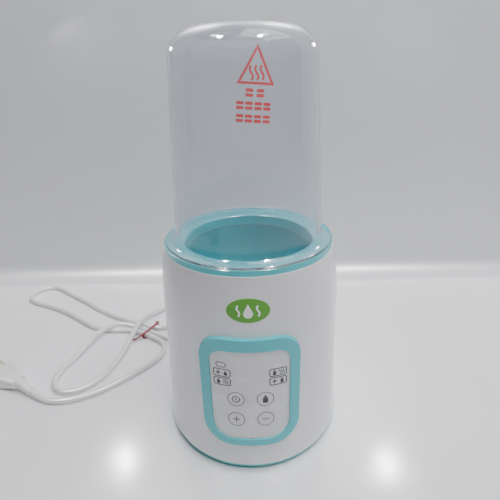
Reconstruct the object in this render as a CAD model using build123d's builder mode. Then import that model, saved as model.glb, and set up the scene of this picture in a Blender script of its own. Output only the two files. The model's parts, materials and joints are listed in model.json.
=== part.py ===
from build123d import *
import os
from math import cos, pi, radians, sin, sqrt, tan

# A single-bottle steam sterilizer and warmer: a clear dome stands on a teal ring, over a heated
# pot in a white housing with a touch panel. Millimetres, +Z up, the front faces -Y, and the
# origin is the centre of the footprint on the surface that the feet stand on.

# ---- driving dimensions --------------------------------------------------------------------
foot_height = 1.5
plinth_height = 3.5
base_radius = 76.2
waist_radius = 70.95
waist_height = 116.0
rim_radius = 65.7
rim_height = 164.8
flank_hollow = 0.7
shoulder_crown = 1.5
housing_wall = 2.6
housing_edge_round = 1.8
shelf_height = rim_height - 6.8
shelf_thickness = 2.4

ring_radius = rim_radius - 0.7
ring_height = rim_height + 4.2
ring_wall = 2.4
seat_recess = 0.7
seam_drop = 9.0

pot_radius = 48.9
pot_wall = 2.3
pot_depth = 71.0
pot_floor = 2.6
pot_corner = 9.0
pot_draft = 2.0

dome_foot_radius = 56.4
dome_head_radius = 48.2
dome_height = 309.4
dome_wall = 2.0
dome_shoulder = 17.4
dome_flare = 7.0
flange_radius = ring_radius - 1.1
notch_width = 26.0
notch_depth = 4.6
notch_angle = 99.0

panel_half_width = 28.2
panel_low = 35.4
panel_high = 112.6
panel_top_round = 9.5
panel_bottom_round = 14.0
bezel_side = 7.4
bezel_top = 9.6
bezel_bottom = 5.8
bezel_rise = 3.6
panel_rise = 2.5
panel_thickness = 2.2
badge_width = 28.8
badge_tall = 17.0
badge_height = 142.6
badge_rise = 0.5

plate_radius = pot_radius - 16.5
plate_flange = pot_radius - 10.9
rack_radius = pot_radius - 7.9
rack_stand = 10.0
rack_plate = 2.0

cord_radius = 2.9
exit_height = 14.0
relief_length = 31.0

running_gap = 0.15
seat_gap = 0.1
fit_gap = 0.3
screw_radius = 1.5
screw_head_radius = 2.8
screw_head = 2.0
pilot_gap = 0.05

# ---- levels and radii that follow ----------------------------------------------------------
housing_bottom = foot_height + plinth_height
lower_mid_radius = (base_radius + waist_radius) / 2 - flank_hollow
lower_mid_height = (housing_bottom + waist_height) / 2
upper_mid_radius = (waist_radius + rim_radius) / 2 + shoulder_crown
upper_mid_height = (waist_height + rim_height) / 2
shelf_top = shelf_height + shelf_thickness
ring_bottom = ring_height - seam_drop
seat_level = ring_height - seat_recess
flange_bottom = seat_level + seat_gap
flange_top = flange_bottom + dome_wall
gasket_thickness = 1.0
pot_top = ring_bottom - gasket_thickness
pot_inside_floor = pot_top - pot_depth
pot_base_radius = pot_radius - pot_draft
pot_under = pot_inside_floor - pot_floor
lip_inner_radius = rim_radius - housing_wall
base_floor = 2.4
cover_radius = base_radius - 1.6
cover_lip_radius = base_radius - housing_wall - fit_gap - 0.4
cover_lip_top = housing_bottom + 4.0
cover_floor_top = foot_height + base_floor
panel_mid = (panel_low + panel_high) / 2
panel_tall = panel_high - panel_low

os.makedirs("parts", exist_ok=True)


def keep(piece, name):
    piece.label = name
    export_step(piece, "parts/" + name + ".step")
    return piece


def flank_body(growth):
    """The housing's outer shape, grown outward by growth, from its bottom to its rim."""
    with BuildPart() as body:
        with BuildSketch(Plane.XZ):
            with BuildLine():
                low = (base_radius + growth, housing_bottom)
                lower_mid = (lower_mid_radius + growth, lower_mid_height)
                waist = (waist_radius + growth, waist_height)
                upper_mid = (upper_mid_radius + growth, upper_mid_height)
                rim = (rim_radius + growth, rim_height)
                ThreePointArc(low, lower_mid, waist)
                ThreePointArc(waist, upper_mid, rim)
                Polyline(rim, (0, rim_height), (0, housing_bottom), low)
            make_face()
        revolve(axis=Axis.Z)
    return body.part


def flank_shell(inside, outside):
    """A skin that follows the housing, between two growths."""
    with BuildPart() as skin:
        add(flank_body(outside))
        add(flank_body(inside), mode=Mode.SUBTRACT)
    return skin.part


def panel_prism(half_width, low, high, top_round, bottom_round):
    """The panel's outline, drawn on the front and pushed back to the middle of the housing."""
    front = Plane(origin=(0, -base_radius - 20, 0), x_dir=(1, 0, 0), z_dir=(0, -1, 0))
    with BuildPart() as prism:
        with BuildSketch(front) as outline:
            with Locations((0, (low + high) / 2)):
                Rectangle(2 * half_width, high - low)
            fillet(outline.vertices().group_by(Axis.Y)[-1], radius=top_round)
            fillet(outline.vertices().group_by(Axis.Y)[0], radius=bottom_round)
        extrude(amount=-base_radius)
    return prism.part


def grown_prism(growth):
    """The panel's outline grown evenly, with its corners kept parallel."""
    return panel_prism(
        panel_half_width + growth,
        panel_low - growth,
        panel_high + growth,
        panel_top_round + growth,
        panel_bottom_round + growth,
    )


def washer(inner, outer, low, high):
    with BuildPart() as body:
        with BuildSketch(Plane.XY.offset(low)):
            Circle(outer)
            Circle(inner, mode=Mode.SUBTRACT)
        extrude(amount=high - low)
    return body.part


def screws_up(places, head_bottom, shank_top):
    """Pan-head screws driven upward: head below, shank above, with a cross recess."""
    with BuildPart() as screws:
        with BuildSketch(Plane.XY.offset(head_bottom)):
            with Locations(*places):
                Circle(screw_head_radius)
        extrude(amount=screw_head)
        with BuildSketch(Plane.XY.offset(head_bottom + screw_head)):
            with Locations(*places):
                Circle(screw_radius)
        extrude(amount=shank_top - head_bottom - screw_head)
        with BuildSketch(Plane.XY.offset(head_bottom)):
            with Locations(*places):
                Rectangle(3.2, 0.7)
                Rectangle(0.7, 3.2)
        extrude(amount=1.0, mode=Mode.SUBTRACT)
    return screws.part


def screws_down(places, head_top, shank_bottom):
    """The same screws driven downward."""
    with BuildPart() as screws:
        with BuildSketch(Plane.XY.offset(head_top - screw_head)):
            with Locations(*places):
                Circle(screw_head_radius)
        extrude(amount=screw_head)
        with BuildSketch(Plane.XY.offset(shank_bottom)):
            with Locations(*places):
                Circle(screw_radius)
        extrude(amount=head_top - screw_head - shank_bottom)
        with BuildSketch(Plane.XY.offset(head_top)):
            with Locations(*places):
                Rectangle(3.2, 0.7)
                Rectangle(0.7, 3.2)
        extrude(amount=-1.0, mode=Mode.SUBTRACT)
    return screws.part


def polar_places(radius, count, start):
    step = 360 / count
    angles = [start + step * index for index in range(count)]
    return [(radius * cos(radians(angle)), radius * sin(radians(angle))) for angle in angles]


def corner_radii(points):
    """Each corner's arc is as large as its two runs allow."""
    radii = []
    for before, corner, after in zip(points, points[1:], points[2:]):
        arriving = Vector(*corner) - Vector(*before)
        leaving = Vector(*after) - Vector(*corner)
        half_turn = radians(arriving.get_angle(leaving)) / 2
        radii.append(0.45 * min(arriving.length, leaving.length) / tan(half_turn))
    return radii


def round_tube(points, radius):
    """A round cord or wire along straight runs joined by tangent arcs."""
    with BuildPart() as tube:
        with BuildLine() as path:
            FilletPolyline(*points, radius=corner_radii(points))
        start = path.wire() @ 0
        with BuildSketch(Plane(origin=start, z_dir=path.wire() % 0)):
            Circle(radius)
        sweep(path=path.wire(), transition=Transition.ROUND)
    return tube.part, path.wire().length


# ---- housing -------------------------------------------------------------------------------
cover_screw_radius = base_radius - 12.2
cover_screw_places = polar_places(cover_screw_radius, 4, 20)
pot_flange_radius = lip_inner_radius - 2.1
shelf_screw_places = polar_places(pot_flange_radius - 3.6, 3, 30)
snap_radius = lip_inner_radius - 1.8
hook_radius = snap_radius - 0.3
boss_radius = 4.0
boss_top = 32.0
boss_bottom = cover_lip_top
window_growth = 1.6
exit_hole_radius = 5.6
relief_flange = 2.2

with BuildPart() as cavity:
    add(flank_body(-housing_wall))
    split(bisect_by=Plane.XY.offset(shelf_height), keep=Keep.BOTTOM)

with BuildPart() as housing:
    add(flank_body(0))
    fillet(housing.edges().group_by(Axis.Z)[0], radius=housing_edge_round)
    add(cavity.part, mode=Mode.SUBTRACT)
    with BuildSketch(Plane.XY.offset(shelf_top)):
        Circle(lip_inner_radius)
    extrude(amount=rim_height - shelf_top, mode=Mode.SUBTRACT)
    with BuildSketch(Plane.XY.offset(shelf_height)):
        Circle(pot_radius + pot_wall + fit_gap)
    extrude(amount=shelf_thickness, mode=Mode.SUBTRACT)
    with BuildSketch(Plane.XY.offset(boss_bottom)):
        with Locations(*cover_screw_places):
            Circle(boss_radius)
        with PolarLocations(cover_screw_radius + 6.0, 4, start_angle=20):
            Rectangle(8.0, 2.0)
    extrude(amount=boss_top - boss_bottom)
    with BuildSketch(Plane.XY.offset(boss_bottom)):
        with Locations(*cover_screw_places):
            Circle(screw_radius + pilot_gap)
    extrude(amount=16.0, mode=Mode.SUBTRACT)
    with BuildSketch(Plane.XY.offset(shelf_height)):
        with Locations(*shelf_screw_places):
            Circle(screw_radius + pilot_gap)
        with PolarLocations(snap_radius, 4):
            Rectangle(2.0, 9.0)
    extrude(amount=shelf_thickness, mode=Mode.SUBTRACT)
    with BuildSketch(Plane(origin=(0, 0, exit_height), x_dir=(1, 0, 0), z_dir=(0, 1, 0))):
        Circle(exit_hole_radius)
    extrude(amount=base_radius + 10, mode=Mode.SUBTRACT)
    add(grown_prism(window_growth), mode=Mode.SUBTRACT)
keep(housing.part, "outer_housing")

# ---- base cover, feet and screws -----------------------------------------------------------
foot_radius = 7.0
foot_places = polar_places(cover_radius - 14.6, 4, 45)
board_centre_y = -6.0
board_width = 84.0
board_length = 60.0
board_level = 22.0
board_thickness = 1.6
post_places = [(x, board_centre_y + y) for x in (-37.0, 37.0) for y in (-25.0, 25.0)]
clamp_y = 50.0
clamp_half = 11.0
clamp_places = [(-clamp_half, clamp_y), (clamp_half, clamp_y)]
clamp_post_top = exit_height - cord_radius

with BuildPart() as base_cover:
    with BuildSketch(Plane.XY.offset(foot_height)):
        Circle(cover_radius)
    extrude(amount=plinth_height)
    chamfer(base_cover.edges().group_by(Axis.Z)[0], length=0.8)
    with BuildSketch(Plane.XY.offset(housing_bottom)):
        Circle(cover_lip_radius)
    extrude(amount=cover_lip_top - housing_bottom)
    with BuildSketch(Plane.XY.offset(cover_floor_top)):
        Circle(cover_lip_radius - housing_wall)
    extrude(amount=cover_lip_top - cover_floor_top, mode=Mode.SUBTRACT)
    with BuildSketch(Plane.XY.offset(cover_floor_top)):
        with Locations((0, cover_lip_radius)):
            Rectangle(2 * (exit_hole_radius + relief_flange + fit_gap), 14.0)
    extrude(amount=cover_lip_top - cover_floor_top, mode=Mode.SUBTRACT)
    with BuildSketch(Plane.XY.offset(cover_floor_top)):
        with Locations(*cover_screw_places):
            Circle(boss_radius + 1.6)
    extrude(amount=cover_lip_top - cover_floor_top)
    with BuildSketch(Plane.XY.offset(cover_floor_top)):
        with Locations(*post_places):
            Circle(3.4)
    extrude(amount=board_level - cover_floor_top)
    with BuildSketch(Plane.XY.offset(cover_floor_top)):
        with Locations(*clamp_places):
            Rectangle(8.0, 10.0)
    extrude(amount=exit_height - 0.6 - cover_floor_top)
    with BuildSketch(Plane.XY.offset(cover_floor_top)):
        with Locations((0, clamp_y)):
            Rectangle(2 * clamp_half, 6.0)
    extrude(amount=clamp_post_top - cover_floor_top - pilot_gap)
    with BuildSketch(Plane.XY.offset(foot_height)):
        with Locations(*cover_screw_places):
            Circle(screw_head_radius + fit_gap)
        with Locations(*foot_places):
            Circle(foot_radius + pilot_gap)
    extrude(amount=1.0, mode=Mode.SUBTRACT)
    with BuildSketch(Plane.XY.offset(foot_height)):
        with Locations(*cover_screw_places):
            Circle(screw_head_radius + fit_gap)
    extrude(amount=screw_head + 0.6, mode=Mode.SUBTRACT)
    with BuildSketch(Plane.XY.offset(foot_height)):
        with Locations(*cover_screw_places):
            Circle(screw_radius + fit_gap)
    extrude(amount=cover_lip_top, mode=Mode.SUBTRACT)
    with BuildSketch(Plane.XY.offset(cover_floor_top + 1.0)):
        with Locations(*post_places):
            Circle(screw_radius + pilot_gap)
        with Locations(*clamp_places):
            Circle(screw_radius + pilot_gap)
    extrude(amount=board_level, mode=Mode.SUBTRACT)
    with BuildSketch(Plane.XY.offset(foot_height)):
        with Locations((0, -30), (0, -38), (0, -46)):
            SlotOverall(34.0, 3.0)
        with Locations((0, 24), (0, 32)):
            SlotOverall(26.0, 3.0)
    extrude(amount=base_floor, mode=Mode.SUBTRACT)
keep(base_cover.part, "base_cover")

with BuildPart() as feet:
    with BuildSketch(Plane.XY):
        with Locations(*foot_places):
            Circle(foot_radius)
    extrude(amount=foot_height + 1.0)
    chamfer(feet.edges().group_by(Axis.Z)[0], length=0.5)
keep(feet.part, "rubber_feet")

keep(screws_up(cover_screw_places, foot_height + 0.6, boss_bottom + 12.0), "base_screws")

# ---- ring, gasket and pot ------------------------------------------------------------------
collar_outer = pot_radius + ring_wall
with BuildPart() as ring:
    with BuildSketch(Plane.XZ):
        with BuildLine():
            Polyline(
                (pot_radius, ring_bottom),
                (collar_outer, ring_bottom),
                (collar_outer, seat_level - ring_wall),
                (lip_inner_radius - fit_gap - ring_wall, seat_level - ring_wall),
                (lip_inner_radius - fit_gap - ring_wall, shelf_top + fit_gap),
                (lip_inner_radius - fit_gap, shelf_top + fit_gap),
                (lip_inner_radius - fit_gap, rim_height),
                (ring_radius, rim_height),
                (ring_radius, ring_height),
                (flange_radius + fit_gap, ring_height),
                (flange_radius + fit_gap, seat_level),
                (pot_radius, seat_level),
                close=True,
            )
        make_face()
    revolve(axis=Axis.Z)
    inner_rim = ring.edges().filter_by_position(Axis.Z, seat_level, seat_level).sort_by(SortBy.RADIUS)[0]
    fillet(inner_rim, radius=1.6)
    outer_rim = ring.edges().filter_by_position(Axis.Z, ring_height, ring_height).sort_by(SortBy.RADIUS)
    fillet(outer_rim[-1], radius=0.5)
    with BuildSketch(Plane.XY.offset(shelf_height - 1.6)):
        with PolarLocations(snap_radius, 4):
            Rectangle(1.6, 8.0)
    extrude(amount=shelf_top + fit_gap + 1.0 - shelf_height + 1.6)
    with BuildSketch(Plane.XY.offset(shelf_height - 1.6)):
        with PolarLocations(hook_radius, 4):
            Rectangle(2.2, 8.0)
    extrude(amount=1.5)
keep(ring.part, "top_ring")

keep(washer(pot_radius + 0.7, collar_outer, pot_top, ring_bottom), "pot_gasket")

pot_outer = pot_radius + pot_wall
pot_flange_top = shelf_height
pot_flange_thickness = 2.4
heater_boss_x = pot_radius - 5.9
heater_boss_bottom = pot_under - 7.0
clamp_strap_thickness = 1.5

with BuildPart() as pot:
    with BuildSketch(Plane.XZ):
        with BuildLine():
            Polyline(
                (0, pot_under),
                (pot_base_radius + pot_wall, pot_under),
                (pot_outer, pot_flange_top - pot_flange_thickness),
                (pot_outer, pot_top),
                (0, pot_top),
                close=True,
            )
        make_face()
    revolve(axis=Axis.Z)
    fillet(pot.edges().group_by(Axis.Z)[0], radius=pot_corner + pot_floor)
    with BuildSketch(Plane.XY.offset(pot_flange_top - pot_flange_thickness)):
        Circle(pot_flange_radius)
    extrude(amount=pot_flange_thickness)
    with BuildSketch(Plane.XY.offset(pot_flange_top - 8.0)):
        with Locations(*shelf_screw_places):
            Circle(3.4)
    extrude(amount=8.0 - pot_flange_thickness)
    with BuildSketch(Plane.XY.offset(heater_boss_bottom)):
        with Locations((-heater_boss_x, 0), (heater_boss_x, 0)):
            Circle(3.6)
    extrude(amount=pot_inside_floor - heater_boss_bottom + 4.0)
    with BuildSketch(Plane.XY.offset(heater_boss_bottom)):
        with Locations((-heater_boss_x, 0), (heater_boss_x, 0)):
            Circle(screw_radius + pilot_gap)
    extrude(amount=6.0, mode=Mode.SUBTRACT)
    with BuildSketch(Plane.XY.offset(pot_flange_top)):
        with Locations(*shelf_screw_places):
            Circle(screw_radius + pilot_gap)
    extrude(amount=-7.0, mode=Mode.SUBTRACT)
    with BuildSketch(Plane.XY.offset(pot_flange_top - pot_flange_thickness)):
        with PolarLocations(snap_radius, 4):
            Rectangle(4.0, 10.0)
    extrude(amount=pot_flange_thickness, mode=Mode.SUBTRACT)
    with BuildSketch(Plane.XZ):
        with BuildLine() as inside:
            FilletPolyline(
                (0, pot_inside_floor),
                (pot_base_radius, pot_inside_floor),
                (pot_radius, pot_top),
                (0, pot_top),
                radius=[pot_corner, 0],
            )
            Line(inside.wire() @ 1, inside.wire() @ 0)
        make_face()
    revolve(axis=Axis.Z, mode=Mode.SUBTRACT)
    with BuildSketch(Plane.XY.offset(pot_under)):
        Circle(plate_radius + 0.6)
    extrude(amount=pot_floor, mode=Mode.SUBTRACT)
keep(pot.part, "heating_pot")

keep(screws_down(shelf_screw_places, shelf_top + screw_head, pot_flange_top - 6.0), "pot_screws")

# ---- heater under the pot ------------------------------------------------------------------
seal_thickness = 1.0
plate_thickness = 2.0
plate_bottom = pot_under - seal_thickness - plate_thickness

with BuildPart() as heater_plate:
    with BuildSketch(Plane.XY.offset(plate_bottom)):
        Circle(plate_flange)
    extrude(amount=plate_thickness)
    with BuildSketch(Plane.XY.offset(plate_bottom)):
        Circle(plate_radius)
    extrude(amount=pot_inside_floor - plate_bottom)
    fillet(heater_plate.edges().group_by(Axis.Z)[-1], radius=0.8)
keep(heater_plate.part, "heater_plate")

keep(washer(plate_radius + 1.0, plate_flange, pot_under - seal_thickness, pot_under), "plate_seal")

element_height = 5.0
element_bottom = plate_bottom - element_height
with BuildPart() as heating_element:
    with BuildSketch(Plane.XY.offset(element_bottom)):
        Rectangle(44.0, 24.0)
    extrude(amount=element_height)
    fillet(heating_element.edges().filter_by(Axis.Z), radius=1.5)
    with BuildSketch(Plane.XY.offset(element_bottom + 1.5)):
        with Locations((24.0, -7.0), (24.0, 7.0)):
            Rectangle(6.0, 4.0)
    extrude(amount=1.0)
keep(heating_element.part, "heating_element")

strap_top = element_bottom
strap_bottom = strap_top - clamp_strap_thickness
with BuildPart() as heater_clamp:
    with BuildSketch(Plane.XY.offset(strap_bottom)):
        SlotCenterToCenter(2 * heater_boss_x, 9.0)
        with Locations((-heater_boss_x, 0), (heater_boss_x, 0)):
            Circle(screw_radius + fit_gap, mode=Mode.SUBTRACT)
    extrude(amount=clamp_strap_thickness)
    with BuildSketch(Plane.XY.offset(strap_top)):
        with Locations((-heater_boss_x, 0), (heater_boss_x, 0)):
            Circle(4.4)
            Circle(screw_radius + fit_gap, mode=Mode.SUBTRACT)
    extrude(amount=heater_boss_bottom - strap_top)
keep(heater_clamp.part, "heater_clamp")

heater_boss_places = [(-heater_boss_x, 0), (heater_boss_x, 0)]
heater_screws = screws_up(heater_boss_places, strap_bottom - screw_head, heater_boss_bottom + 5.0)
keep(heater_screws, "heater_screws")

with BuildPart() as thermostat:
    with BuildSketch(Plane.XY.offset(plate_bottom - 9.0)):
        with Locations((0, 22.0)):
            Circle(7.5)
    extrude(amount=9.0)
    with BuildSketch(Plane.XY.offset(plate_bottom - 15.0)):
        with Locations((-5.0, 22.0), (5.0, 22.0)):
            Rectangle(0.8, 5.0)
    extrude(amount=6.0)
keep(thermostat.part, "thermostat")

fuse_y = -17.0
with BuildPart() as thermal_fuse:
    with BuildSketch(Plane(origin=(-7, fuse_y, plate_bottom - 2.2), x_dir=(0, 1, 0), z_dir=(1, 0, 0))):
        Circle(2.2)
    extrude(amount=14.0)
    with BuildSketch(Plane(origin=(-13, fuse_y, plate_bottom - 2.2), x_dir=(0, 1, 0), z_dir=(1, 0, 0))):
        Circle(0.6)
    extrude(amount=26.0)
keep(thermal_fuse.part, "thermal_fuse")

sensor_place = (17.0, -20.0)
with BuildPart() as temperature_sensor:
    with BuildSketch(Plane.XY.offset(plate_bottom - 8.0)):
        with Locations(sensor_place):
            Circle(2.6)
    extrude(amount=8.0)
    with BuildSketch(Plane.XY.offset(plate_bottom - 1.2)):
        with Locations(sensor_place):
            Circle(4.2)
    extrude(amount=1.2)
keep(temperature_sensor.part, "temperature_sensor")

# ---- rack in the pot -----------------------------------------------------------------------
rack_level = pot_inside_floor + rack_stand
with BuildPart() as rack:
    with BuildSketch(Plane.XY.offset(rack_level)):
        Circle(rack_radius)
        Circle(7.0, mode=Mode.SUBTRACT)
        with PolarLocations(rack_radius - 25.5, 6, start_angle=30):
            SlotOverall(10.0, 4.0, mode=Mode.SUBTRACT)
        with PolarLocations(rack_radius - 11.5, 12):
            SlotOverall(11.0, 4.0, mode=Mode.SUBTRACT)
    extrude(amount=rack_plate)
    with BuildSketch(Plane.XY.offset(rack_level + rack_plate)):
        Circle(rack_radius)
        Circle(rack_radius - 2.0, mode=Mode.SUBTRACT)
    extrude(amount=5.0)
    with BuildSketch(Plane.XY.offset(pot_inside_floor + seat_gap)):
        with PolarLocations(rack_radius - 4.5, 3, start_angle=30):
            Circle(2.6)
    extrude(amount=rack_stand - seat_gap)
    with BuildSketch(Plane.XY.offset(rack_level + rack_plate)):
        with PolarLocations(rack_radius - 1.0, 2):
            Rectangle(2.0, 16.0)
    extrude(amount=16.0)
keep(rack.part, "bottle_rack")

# ---- dome ----------------------------------------------------------------------------------
with BuildPart() as dome:
    with BuildSketch(Plane.XZ):
        with BuildLine() as outside:
            FilletPolyline(
                (0, dome_height),
                (dome_head_radius, dome_height),
                (dome_foot_radius, flange_top),
                (flange_radius, flange_top),
                (flange_radius, flange_bottom),
                (0, flange_bottom),
                radius=[dome_shoulder, dome_flare, 0.7, 0],
            )
            Line(outside.wire() @ 1, outside.wire() @ 0)
        make_face()
    revolve(axis=Axis.Z)
    with BuildSketch(Plane.XZ):
        with BuildLine() as hollow:
            FilletPolyline(
                (0, dome_height - dome_wall),
                (dome_head_radius - dome_wall, dome_height - dome_wall),
                (dome_foot_radius - dome_wall, flange_bottom),
                (flange_radius - 0.1, flange_bottom),
                (flange_radius - 0.1, flange_bottom - 1.0),
                (0, flange_bottom - 1.0),
                radius=[dome_shoulder - dome_wall, dome_flare + dome_wall, 0, 0],
            )
            Line(hollow.wire() @ 1, hollow.wire() @ 0)
        make_face()
    revolve(axis=Axis.Z, mode=Mode.SUBTRACT)
    notch_middle = flange_radius - notch_depth + notch_width / 2
    with BuildSketch(Plane.XY.offset(flange_bottom - 0.5)) as notch:
        with PolarLocations(notch_middle, 1, start_angle=notch_angle - 90):
            RectangleRounded(notch_width, notch_width, 3.0)
    extrude(amount=dome_wall + 4.0, mode=Mode.SUBTRACT)
keep(dome.part, "dome_cover")

# ---- touch panel, its bezel and the badge --------------------------------------------------
ledge = 3.0
with BuildPart() as bezel:
    add(flank_shell(0, bezel_rise))
    add(
        panel_prism(
            panel_half_width + bezel_side,
            panel_low - bezel_bottom,
            panel_high + bezel_top,
            panel_top_round + bezel_side,
            panel_bottom_round + bezel_bottom,
        ),
        mode=Mode.INTERSECT,
    )
    add(grown_prism(running_gap), mode=Mode.SUBTRACT)
keep(bezel.part, "panel_bezel")

with BuildPart() as carrier:
    add(flank_shell(-housing_wall - 1.4, -fit_gap))
    add(grown_prism(window_growth - fit_gap), mode=Mode.INTERSECT)
    add(grown_prism(-ledge), mode=Mode.SUBTRACT)

with BuildPart() as panel:
    add(flank_shell(panel_rise - panel_thickness, panel_rise))
    add(grown_prism(0), mode=Mode.INTERSECT)
keep(panel.part, "touch_panel")

badge_front = Plane(origin=(0, -base_radius - 20, badge_height), x_dir=(1, 0, 0), z_dir=(0, -1, 0))
with BuildPart() as badge:
    with BuildSketch(badge_front):
        Ellipse(badge_width / 2, badge_tall / 2)
    extrude(amount=-base_radius)
    add(flank_shell(0, badge_rise), mode=Mode.INTERSECT)
keep(badge.part, "badge")

# ---- display board behind the panel --------------------------------------------------------
display_y = 11.95 - waist_radius
display_thickness = 1.6
key_angle = 8.1
key_upper = 71.7
key_lower = 53.5
lamp_angle = 15.4
lamp_heights = (86.2, 93.7)
status_height = 100.6
panel_back_radius = waist_radius + panel_rise - panel_thickness
key_x = panel_back_radius * sin(radians(key_angle))
lamp_x = panel_back_radius * sin(radians(lamp_angle))
display_front = Plane(origin=(0, display_y, 0), x_dir=(1, 0, 0), z_dir=(0, -1, 0))
arm_radius = 4.5
display_screw_x = panel_half_width - 6.2
display_screw_heights = (panel_low + panel_bottom_round, panel_high - 6.0)
display_screw_places = [(x, z) for x in (-display_screw_x, display_screw_x) for z in display_screw_heights]

with BuildPart() as display_board:
    with BuildSketch(display_front):
        with Locations((0, panel_mid)):
            Rectangle(2 * panel_half_width - 5.0, panel_tall - 7.0)
        with Locations(*display_screw_places):
            Circle(screw_radius + fit_gap, mode=Mode.SUBTRACT)
    extrude(amount=-display_thickness)
keep(display_board.part, "display_board")

# Four arms from the carrier hold the display board by its corners.
with BuildPart() as arms:
    with BuildSketch(display_front):
        with Locations(*display_screw_places):
            Circle(arm_radius)
    extrude(amount=base_radius)
    add(flank_body(-housing_wall), mode=Mode.INTERSECT)
    with BuildSketch(display_front):
        with Locations(*display_screw_places):
            Circle(screw_radius + pilot_gap)
    extrude(amount=6.0, mode=Mode.SUBTRACT)

with BuildPart() as panel_carrier:
    add(carrier.part)
    add(arms.part)
keep(panel_carrier.part, "panel_carrier")

with BuildPart() as display_screws:
    with BuildSketch(Plane(origin=(0, display_y + display_thickness, 0), x_dir=(1, 0, 0), z_dir=(0, -1, 0))):
        with Locations(*display_screw_places):
            Circle(screw_head_radius)
    extrude(amount=-screw_head)
    with BuildSketch(Plane(origin=(0, display_y + display_thickness, 0), x_dir=(1, 0, 0), z_dir=(0, -1, 0))):
        with Locations(*display_screw_places):
            Circle(screw_radius)
    extrude(amount=display_thickness + 5.0)
keep(display_screws.part, "display_screws")

with BuildPart() as touch_pads:
    with BuildSketch(display_front):
        with Locations((-key_x, key_upper), (key_x, key_upper), (-key_x, key_lower), (key_x, key_lower)):
            Circle(3.4)
    extrude(amount=base_radius)
    add(flank_body(panel_rise - panel_thickness - running_gap), mode=Mode.INTERSECT)
keep(touch_pads.part, "touch_pads")

with BuildPart() as display_module:
    with BuildSketch(display_front):
        with Locations((0, sum(lamp_heights) / 2)):
            Rectangle(26.0, 13.0)
    extrude(amount=8.0)
keep(display_module.part, "display_module")

lamp_places = [(side * lamp_x, height) for side in (-1, 1) for height in lamp_heights]
lamp_places.append((-lamp_x, status_height))
with BuildPart() as indicator_lights:
    with BuildSketch(display_front):
        with Locations(*lamp_places):
            Rectangle(3.5, 2.8)
    extrude(amount=1.6)
keep(indicator_lights.part, "indicator_lights")

# ---- control board on the base cover -------------------------------------------------------
board_top = board_level + board_thickness
with BuildPart() as control_board:
    with BuildSketch(Plane.XY.offset(board_level)):
        with Locations((0, board_centre_y)):
            RectangleRounded(board_width, board_length, 3.0)
        with Locations(*post_places):
            Circle(screw_radius + fit_gap, mode=Mode.SUBTRACT)
    extrude(amount=board_thickness)
keep(control_board.part, "control_board")
keep(screws_down(post_places, board_top + screw_head, board_level - 9.0), "board_screws")


def block(place, size, low, corner):
    with BuildPart() as body:
        with BuildSketch(Plane.XY.offset(low)):
            with Locations(place):
                RectangleRounded(size[0], size[1], corner)
        extrude(amount=size[2])
        fillet(body.edges().group_by(Axis.Z)[-1], radius=corner * 0.8)
    return body.part


transformer_place = (-22.0, -14.0)
relay_place = (22.0, 4.0)
terminal_place = (0.0, board_centre_y + board_length / 2 - 7.0)
keep(block(transformer_place, (22.0, 20.0, 18.0), board_top, 1.2), "transformer")
keep(block(relay_place, (19.0, 15.5, 15.3), board_top, 0.8), "relay")

with BuildPart() as terminal:
    with BuildSketch(Plane.XY.offset(board_top)):
        with Locations(terminal_place):
            Rectangle(22.0, 10.0)
    extrude(amount=12.0)
    with BuildSketch(Plane.XY.offset(board_top + 12.0)):
        with Locations((-5.0, terminal_place[1]), (5.0, terminal_place[1])):
            Circle(2.2)
    extrude(amount=-3.0, mode=Mode.SUBTRACT)
keep(terminal.part, "terminal_block")

with BuildPart() as capacitor:
    with BuildSketch(Plane.XY.offset(board_top)):
        with Locations((-2.0, -22.0)):
            Circle(5.0)
    extrude(amount=14.0)
    fillet(capacitor.edges().group_by(Axis.Z)[-1], radius=0.8)
keep(capacitor.part, "filter_capacitor")

with BuildPart() as buzzer:
    with BuildSketch(Plane.XY.offset(board_top)):
        with Locations((16.0, -24.0)):
            Circle(6.0)
            Circle(1.0, mode=Mode.SUBTRACT)
    extrude(amount=7.0)
keep(buzzer.part, "buzzer")

# ---- cord entry ----------------------------------------------------------------------------
rear = Plane(origin=(0, 0, exit_height), x_dir=(1, 0, 0), z_dir=(0, 1, 0))
wall_inner = base_radius - housing_wall - 1.6
wall_outer = base_radius + 0.4
relief_tip = base_radius + relief_length
lead_start = clamp_y - 12.0

with BuildPart() as relief:
    with BuildSketch(rear.offset(wall_inner - 3.0)):
        Circle(exit_hole_radius + relief_flange)
    extrude(amount=3.0 - 0.6)
    with BuildSketch(rear.offset(wall_inner - 1.0)):
        Circle(exit_hole_radius - running_gap)
    extrude(amount=wall_outer - wall_inner + 1.0)
    with BuildSketch(rear.offset(wall_outer)):
        Circle(exit_hole_radius + 1.4)
    extrude(amount=1.6)
    with BuildSketch(rear.offset(wall_outer + 1.6)):
        Circle(exit_hole_radius - 0.3)
    with BuildSketch(rear.offset(relief_tip)):
        Circle(cord_radius + 0.9)
    loft()
    for step in range(6):
        with BuildSketch(rear.offset(wall_outer + 5.0 + 4.2 * step)):
            Circle(exit_hole_radius + 2)
            Circle(cord_radius + 1.5 - 0.12 * step, mode=Mode.SUBTRACT)
        extrude(amount=1.4, mode=Mode.SUBTRACT)
    with BuildSketch(rear.offset(wall_inner - 4.0)):
        Circle(cord_radius + pilot_gap)
    extrude(amount=relief_tip, mode=Mode.SUBTRACT)
keep(relief.part, "strain_relief")

with BuildPart() as lead:
    with BuildSketch(rear.offset(lead_start)):
        Circle(cord_radius)
    extrude(amount=relief_tip - lead_start)
keep(lead.part, "mains_lead")

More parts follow.
